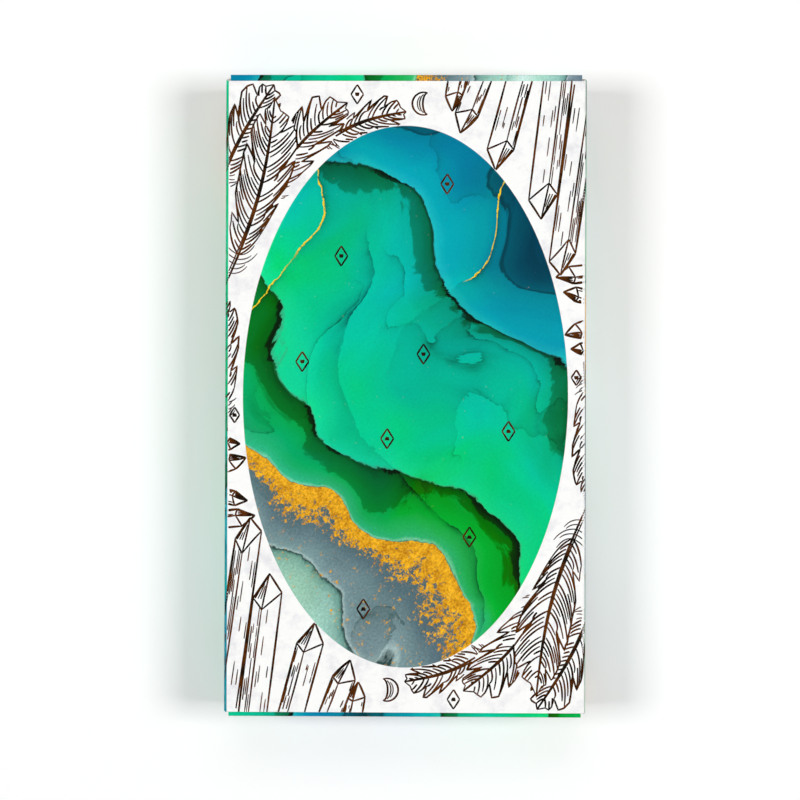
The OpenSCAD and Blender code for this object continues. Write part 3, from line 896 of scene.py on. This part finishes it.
def close_end(end, way):
    """The four flaps of one end of the carton and their scores; way is 1 at the top and -1 at the bottom."""

    def in_lid(u, v, w):
        up = abs(v) - LID_V
        if w > BEAD_R and abs(v) > LID_END_V - HAIR:
            up -= LID_BEVEL
        return Vector((BACK_MIDDLE - u, way * (LID_Y + BEAD_R - w), LID_Z + up)) * MM

    def in_tuck(u, v, w):
        down = abs(v) - TUCK_V
        if w > BEAD_R and down < HAIR:
            down += TUCK_BEVEL
        y = LID_Y - down * math.cos(TUCK_LEAN) - (BEAD_R - w) * math.sin(TUCK_LEAN)
        z = TUCK_Z - down * math.sin(TUCK_LEAN) + (BEAD_R - w) * math.cos(TUCK_LEAN)
        return Vector((BACK_MIDDLE - u, way * y, z)) * MM

    for side, sign in (("left", -1), ("right", 1)):

        def in_dust(u, v, w):
            x = DUST_X - (abs(v) - DUST_V)
            return Vector((sign * x, way * (DUST_Y + BEAD_R - w), SIDE_TOP_Z - (abs(u) - side_start))) * MM

        def corner(z, inward, radius):
            return (sign * (side_start + SIDE_TOP_Z - z), way * (DUST_V + inward), radius)

        flap = cut_board(
            f"{end}_{side}_dust_flap_board",
            rounded(
                [
                    corner(DUST_BACK, 0, 0),
                    corner(DUST_BACK + DUST_L * math.tan(DUST_BACK_TAPER), DUST_L, DUST_CORNER),
                    corner(DUST_FRONT - DUST_L * math.tan(DUST_FRONT_TAPER), DUST_L, DUST_CORNER),
                    corner(DUST_FRONT, 0, 0),
                ]
            ),
            in_dust,
        )
        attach(flap, f"{end}_{side}_dust_flap")
        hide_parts(f"{end}_{side}_dust_flap")
        crease(
            f"{end}_{side}_dust_flap_score",
            centre=Vector((sign * DUST_X, way * DUST_Y, 0)),
            into_a=Vector((0, -way, 0)),
            into_b=Vector((-sign, 0, 0)),
            start=Vector((0, 0, DUST_BACK)),
            end=Vector((0, 0, DUST_FRONT)),
            flat=lambda p, s: (sign * (side_start + SIDE_TOP_Z - p.z), way * (DUST_Y + HALF_ARC + s)),
        )

    lid = cut_board(
        f"{end}_lid_board",
        oblong((BACK_MIDDLE - LID_HALF_W, BACK_MIDDLE + LID_HALF_W), (way * LID_V, way * LID_END_V)),
        in_lid,
    )
    # At its root the tuck flap is as wide as its lid, so that it carries the skin over the whole score
    tuck_half = [
        (LID_HALF_W, TUCK_V, 0),
        (LID_HALF_W, TUCK_V + TUCK_EAR, 0),
        (TUCK_HALF_W, TUCK_V + 2 * TUCK_EAR, 0),
        (TUCK_HALF_W, TUCK_V + TUCK_L, TUCK_CORNER),
    ]
    tuck_outline = [(BACK_MIDDLE + u, way * v, radius) for u, v, radius in tuck_half]
    tuck_outline += [(BACK_MIDDLE - u, way * v, radius) for u, v, radius in reversed(tuck_half)]
    tuck = cut_board(f"{end}_tuck_flap_board", rounded(tuck_outline), in_tuck)
    for flap, body in ((lid, f"{end}_lid"), (tuck, f"{end}_tuck_flap")):
        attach(flap, body)
        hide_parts(body)
    crease(
        f"{end}_lid_score",
        centre=Vector((0, way * LID_Y, LID_Z)),
        into_a=Vector((0, -way, 0)),
        into_b=Vector((0, 0, 1)),
        start=Vector((-neck_half, 0, 0)),
        end=Vector((neck_half, 0, 0)),
        flat=lambda p, s: (BACK_MIDDLE - p.x, way * (LID_Y + HALF_ARC + s)),
    )
    crease(
        f"{end}_tuck_flap_score",
        centre=Vector((0, way * LID_Y, TUCK_Z)),
        into_a=Vector((0, 0, -1)),
        into_b=Vector((0, -way * math.cos(TUCK_LEAN), -math.sin(TUCK_LEAN))),
        start=Vector((-LID_HALF_W, 0, 0)),
        end=Vector((LID_HALF_W, 0, 0)),
        flat=lambda p, s: (BACK_MIDDLE - p.x, way * (TUCK_V - HALF_ARC + s)),
    )


close_end("bottom", -1)


# The cards are white stock with a satin laminate, trimmed in one stack and rounded at the corners.
# Their backs carry the marbled ink inside a plain white border, and each card's cut edge has its own shade.
CARD_BORDER, BORDER_SOFT = 3.5, 0.03
CARD_INK_SHIFT, CARD_INK_TURN, CARD_INK_SCALE = (0.3, 0.4, 2.0), 0.8, (0.012, 0.012, 0.0)
STOCK_DEPTH = 0.03 * MM
card_low, card_high = (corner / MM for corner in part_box("card_01"))
card_middle, card_half = (card_low + card_high) / 2, (card_high - card_low) / 2
card_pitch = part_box("card_02")[0].z / MM - card_low.z
card_gap = card_pitch - 2 * card_half.z


def in_millimetres(tree):
    """The place on a piece, in millimetres."""
    place = add_node(tree, "ShaderNodeTexCoord").outputs["Object"]
    return moved(tree, place, scale=(1 / MM, 1 / MM, 1 / MM))


def dress(name, material):
    """Gives a piece of the construction its finish."""
    node = frame["nodes"][name]
    node.data.materials.clear()
    node.data.materials.append(material)


card_stock, tree, shader = new_material("card_stock", Specular_IOR_Level=0.4)
place_mm = in_millimetres(tree)
axes = add_node(tree, "ShaderNodeSeparateXYZ", {0: place_mm}).outputs
normal = add_node(tree, "ShaderNodeTexCoord").outputs["Normal"]
upright = add_node(tree, "ShaderNodeSeparateXYZ", {0: normal}).outputs["Z"]
on_face = carried(tree, calc(tree, "ABSOLUTE", upright), 0.4, 0.6)
height = calc(tree, "SUBTRACT", axes["Z"], card_low.z - card_gap / 2)
card_number = calc(tree, "FLOOR", calc(tree, "DIVIDE", height, card_pitch))
shade = add_node(tree, "ShaderNodeTexWhiteNoise", {"W": card_number}, noise_dimensions="1D").outputs[0]
stock = use_group(tree, fibres, Place=place_mm)
edge = mixed(tree, shade, srgb("e3e0d8"), srgb("f8f6f0"))
edge = mixed(tree, carried(tree, stock["Tone"], 0.35, 0.7, 0.0, 0.3), edge, srgb("cfcabd"))
ink_place = moved(tree, place_mm, CARD_INK_SHIFT, CARD_INK_TURN, CARD_INK_SCALE)
card_ink = use_group(tree, ink, Place=ink_place, Wander=0.4)
past_ink = []
for i, axis in enumerate("XY"):
    from_middle = calc(tree, "ABSOLUTE", calc(tree, "SUBTRACT", axes[axis], card_middle[i]))
    past_ink.append(calc(tree, "SUBTRACT", from_middle, card_half[i] - CARD_BORDER))
in_border = carried(tree, calc(tree, "MAXIMUM", *past_ink), -BORDER_SOFT, BORDER_SOFT)
face = mixed(tree, in_border, card_ink["Colour"], srgb("f7f6f2"))
give(tree, shader, Base_Color=mixed(tree, on_face, edge, face))
give(tree, shader, Roughness=carried(tree, on_face, 0.0, 1.0, 0.85, 0.36))
give(tree, shader, Normal=bumped(tree, stock["Height"], 0.15, STOCK_DEPTH))
for name in frame["nodes"]:
    if name.startswith("card_"):
        dress(name, card_stock)


# The guide booklet lies on the deck: seven cream sheets folded together and held by two wire staples in a
# cover of coated paper with the marbled ink on its outside.
COVER_INK_SHIFT, COVER_INK_TURN, COVER_INK_SCALE = (0.05, 0.2, 5.0), 0.3, (0.006, 0.006, 0.0)
LEAF_LINES = (0.02, 0.02, 9.0)
DRAWN_WIRE = (6000.0, 300.0, 6000.0)

paper, tree, shader = new_material("booklet_paper", Roughness=0.9, Specular_IOR_Level=0.2)
place_mm = in_millimetres(tree)
pulp = use_group(tree, fibres, Place=place_mm)
leaves = carried(tree, noise(tree, moved(tree, place_mm, scale=LEAF_LINES), 1.0), 0.45, 0.65, 0.0, 0.35)
cream = mixed(tree, carried(tree, pulp["Tone"], 0.3, 0.7), srgb("e2dac6"), srgb("f4efe2"))
give(tree, shader, Base_Color=mixed(tree, leaves, cream, srgb("bfb49c")))
give(tree, shader, Normal=bumped(tree, pulp["Height"], 0.2, STOCK_DEPTH))

steel, tree, shader = new_material("staple_wire", Metallic=1.0)
wire_place = moved(tree, add_node(tree, "ShaderNodeTexCoord").outputs["Object"], scale=DRAWN_WIRE)
drawn_marks = noise(tree, wire_place, 1.0, 3.0)
give(tree, shader, Base_Color=mixed(tree, drawn_marks, srgb("b4b7ba"), srgb("d9dbdc")))
give(tree, shader, Roughness=carried(tree, drawn_marks, 0.3, 0.7, 0.22, 0.4))

cover, tree, shader = new_material("booklet_cover", Specular_IOR_Level=0.4)
place_mm = in_millimetres(tree)
ink_place = moved(tree, place_mm, COVER_INK_SHIFT, COVER_INK_TURN, COVER_INK_SCALE)
cover_ink = use_group(tree, ink, Place=ink_place, Wander=0.3)
pulp = use_group(tree, fibres, Place=place_mm)
pale = carried(tree, pulp["Tone"], 0.35, 0.7, 0.0, 0.12)
give(tree, shader, Base_Color=mixed(tree, pale, cover_ink["Colour"], srgb("d8e4dc")))
give(tree, shader, Roughness=carried(tree, pulp["Tone"], 0.3, 0.7, 0.4, 0.55))
dress("booklet_pages", paper)
dress("booklet_staples", steel)
dress("booklet_cover", cover)


# The top is closed last, over the deck and the booklet. Its dust flaps, lid and tuck flap are cut from the
# same sheet of board as the bottom's, and fold in the same order.
close_end("top", 1)


# The floor is a plain white table. Two soft boxes stand left and right of the carton and two weaker ones
# beyond its ends. The camera looks straight down on the front panel from above the table, a hair off square.
TABLE_HALF = 3.0
TABLE_DROP = 0.1
FLOOR_LIFT, FLOOR_FADE = 0.085, (0.2, 0.6)
SKY_LIGHT = 0.1
LAMP_AWAY, LAMP_UP = 0.5, 0.8
SOFT_BOXES = ((-1, 0, 3.7), (1, 0, 4.2), (0, 1, 1.0), (0, -1, 0.55))
SIDE_BOX, END_BOX = (0.3, 0.25), (0.6, 0.3)
LENS, SENSOR, CLIP = 100.0, 36.0, (0.01, 20.0)
CAMERA_TURNS = (("Z", -0.171), ("Y", -0.868), ("X", -0.47))
CAMERA_EYE = Vector((-1.023, -0.896, 430.59))
WHITE, TABLE_COLOUR = (1.0, 1.0, 1.0, 1.0), (0.95, 0.95, 0.95, 1.0)


def stand(name, data, location=(0, 0, 0), rotation=(0, 0, 0)):
    """An object of the studio."""
    made = bpy.data.objects.new(name, data)
    made.location, made.rotation_euler = location, rotation
    bpy.context.scene.collection.objects.link(made)
    return made


def seen(tree):
    """1 for a ray from the camera, straight or by a mirror or through glass, else 0."""
    rays = add_node(tree, "ShaderNodeLightPath").outputs
    mirrored = calc(tree, "MAXIMUM", rays["Is Glossy Ray"], rays["Is Transmission Ray"])
    return calc(tree, "MAXIMUM", rays["Is Camera Ray"], mirrored)


bm = bmesh.new()
bmesh.ops.create_grid(bm, x_segments=1, y_segments=1, size=TABLE_HALF)
floor_mesh = bpy.data.meshes.new("table")
bm.to_mesh(floor_mesh)
bm.free()
table, tree, shader = new_material(
    "table", Base_Color=TABLE_COLOUR, Roughness=0.9, Specular_IOR_Level=0.1, Emission_Color=WHITE
)
floor_place = add_node(tree, "ShaderNodeTexCoord").outputs["Object"]
from_carton = add_node(tree, "ShaderNodeVectorMath", {0: floor_place}, operation="LENGTH").outputs["Value"]
lift = carried(tree, from_carton, *FLOOR_FADE, FLOOR_LIFT, 1.0)
give(tree, shader, Emission_Strength=calc(tree, "MULTIPLY", seen(tree), lift))
floor_mesh.materials.append(table)
floor = stand("table", floor_mesh, (0, 0, -TABLE_DROP * MM))

world = bpy.data.worlds.new("studio")
bpy.context.scene.world = world
world.use_nodes = True
sky = world.node_tree.nodes["Background"]
sky.inputs["Color"].default_value = WHITE
brightness = calc(world.node_tree, "MULTIPLY_ADD", seen(world.node_tree), 1.0 - SKY_LIGHT, SKY_LIGHT)
world.node_tree.links.new(brightness, sky.inputs["Strength"])

tilt = math.atan2(LAMP_AWAY, LAMP_UP)
for x, y, energy in SOFT_BOXES:
    lamp = bpy.data.lights.new("soft_box", "AREA")
    lamp.shape, lamp.energy = "RECTANGLE", energy
    lamp.size, lamp.size_y = SIDE_BOX if x else END_BOX
    stand("soft_box", lamp, (x * LAMP_AWAY, y * LAMP_AWAY, LAMP_UP), (-y * tilt, x * tilt, 0))

lens = bpy.data.cameras.new("camera")
lens.lens, lens.sensor_width = LENS, SENSOR
lens.clip_start, lens.clip_end = CLIP
turn = Matrix.Identity(3)
for axis, degrees in CAMERA_TURNS:
    turn = turn @ Matrix.Rotation(math.radians(degrees), 3, axis)
turn.transpose()
eye = Vector((0, 0, DEPTH)) + turn @ CAMERA_EYE
camera = stand("camera", lens, eye * MM, turn.to_euler())
bpy.context.scene.camera = camera
bpy.context.scene.view_settings.view_transform = "Standard"
